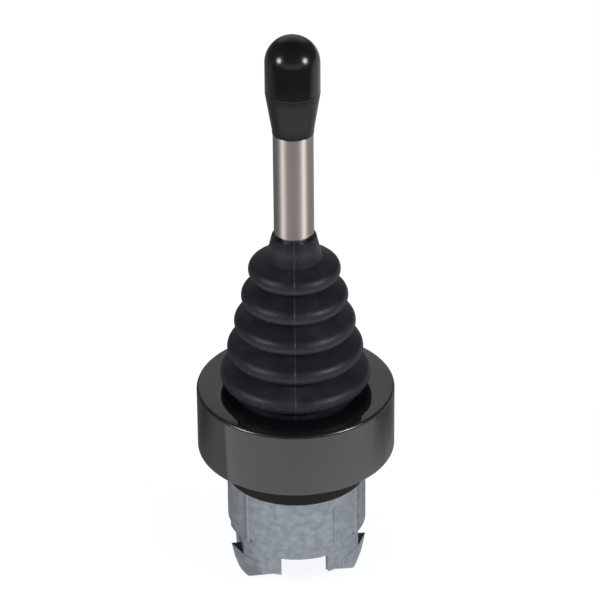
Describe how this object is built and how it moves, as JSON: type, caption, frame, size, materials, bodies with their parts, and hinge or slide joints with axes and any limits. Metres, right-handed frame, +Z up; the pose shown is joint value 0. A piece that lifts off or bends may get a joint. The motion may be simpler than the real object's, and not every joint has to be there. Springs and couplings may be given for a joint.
{
  "type": "joystick operator head",
  "caption": "Panel-mount industrial joystick head: slim knob on a steel lever, folded rubber boot, round bezel, gasket and a slotted barrel with bayonet lugs.",
  "frame": {"origin": "centre of the panel face, under the gasket, on the barrel's axis", "axes": "+Z up the lever away from the panel, bayonet lugs on +X and -X, skirt slots on +Y and -Y, front is -Y"},
  "size_m": [0.031, 0.031, 0.0939],
  "materials": {
    "knob_plastic": "glossy black, moulded",
    "satin_tube": "satin, brushed round",
    "boot_rubber": "satin black",
    "bezel_plastic": "glossy black-grey",
    "gasket_rubber": "matt black",
    "cast_barrel": "as cast, dull bluish grey",
    "black_nylon": "matt",
    "white_acetal": "satin white",
    "bronze": "machined",
    "steel": "ground",
    "spring_steel": "drawn wire and stamped strip"
  },
  "bodies": {
    "base": {"bezel": "bezel_plastic", "boot": "boot_rubber", "boot_clamp_ring": "black_nylon", "panel_gasket": "gasket_rubber", "mounting_barrel": "cast_barrel", "bearing_carrier": "black_nylon", "trunnion_bushes": "bronze", "carrier_snap_ring": "spring_steel", "return_spring": "spring_steel", "plunger_guide": "black_nylon", "guide_snap_ring": "spring_steel", "plunger_springs": "spring_steel"},
    "gimbal": {"gimbal_ring": "steel", "trunnion_pins": "steel", "cross_pin": "steel"},
    "lever": {"lever_rod": "steel", "lever_hub": "bronze", "lever_sleeve": "satin_tube", "knob": "knob_plastic", "knob_insert": "bronze", "spring_seat": "steel", "rocker_plate": "white_acetal", "rocker_screw": "steel"},
    "plunger_left": {"plunger_left": "white_acetal"},
    "plunger_right": {"plunger_right": "white_acetal"},
    "plunger_front": {"plunger_front": "white_acetal"},
    "plunger_back": {"plunger_back": "white_acetal"}
  },
  "joints": [
    {"name": "gimbal_tilt", "type": "hinge", "parent": "base", "child": "gimbal", "pos_m": [0, 0, -0.002], "axis": [1, 0, 0], "range_deg": [-12, 12], "stiffness_Nm_per_rad": 1.5, "deforming": ["boot", "return_spring"]},
    {"name": "lever_tilt", "type": "hinge", "parent": "gimbal", "child": "lever", "pos_m": [0, 0, -0.002], "axis": [0, 1, 0], "range_deg": [-12, 12], "stiffness_Nm_per_rad": 1.5, "deforming": ["boot", "return_spring"]},
    {"name": "plunger_left_slide", "type": "slide", "parent": "base", "child": "plunger_left", "axis": [0, 0, 1], "range_m": [-0.0012, 0.0012], "deforming": ["plunger_springs"]},
    {"name": "plunger_right_slide", "type": "slide", "parent": "base", "child": "plunger_right", "axis": [0, 0, 1], "range_m": [-0.0012, 0.0012], "deforming": ["plunger_springs"]},
    {"name": "plunger_front_slide", "type": "slide", "parent": "base", "child": "plunger_front", "axis": [0, 0, 1], "range_m": [-0.0012, 0.0012], "deforming": ["plunger_springs"]},
    {"name": "plunger_back_slide", "type": "slide", "parent": "base", "child": "plunger_back", "axis": [0, 0, 1], "range_m": [-0.0012, 0.0012], "deforming": ["plunger_springs"]}
  ],
  "couplings": [
    {"joint": "plunger_left_slide", "follows": "lever_tilt", "m_per_rad": 0.00568},
    {"joint": "plunger_right_slide", "follows": "lever_tilt", "m_per_rad": -0.00568},
    {"joint": "plunger_front_slide", "follows": "gimbal_tilt", "m_per_rad": -0.00568},
    {"joint": "plunger_back_slide", "follows": "gimbal_tilt", "m_per_rad": 0.00568}
  ]
}
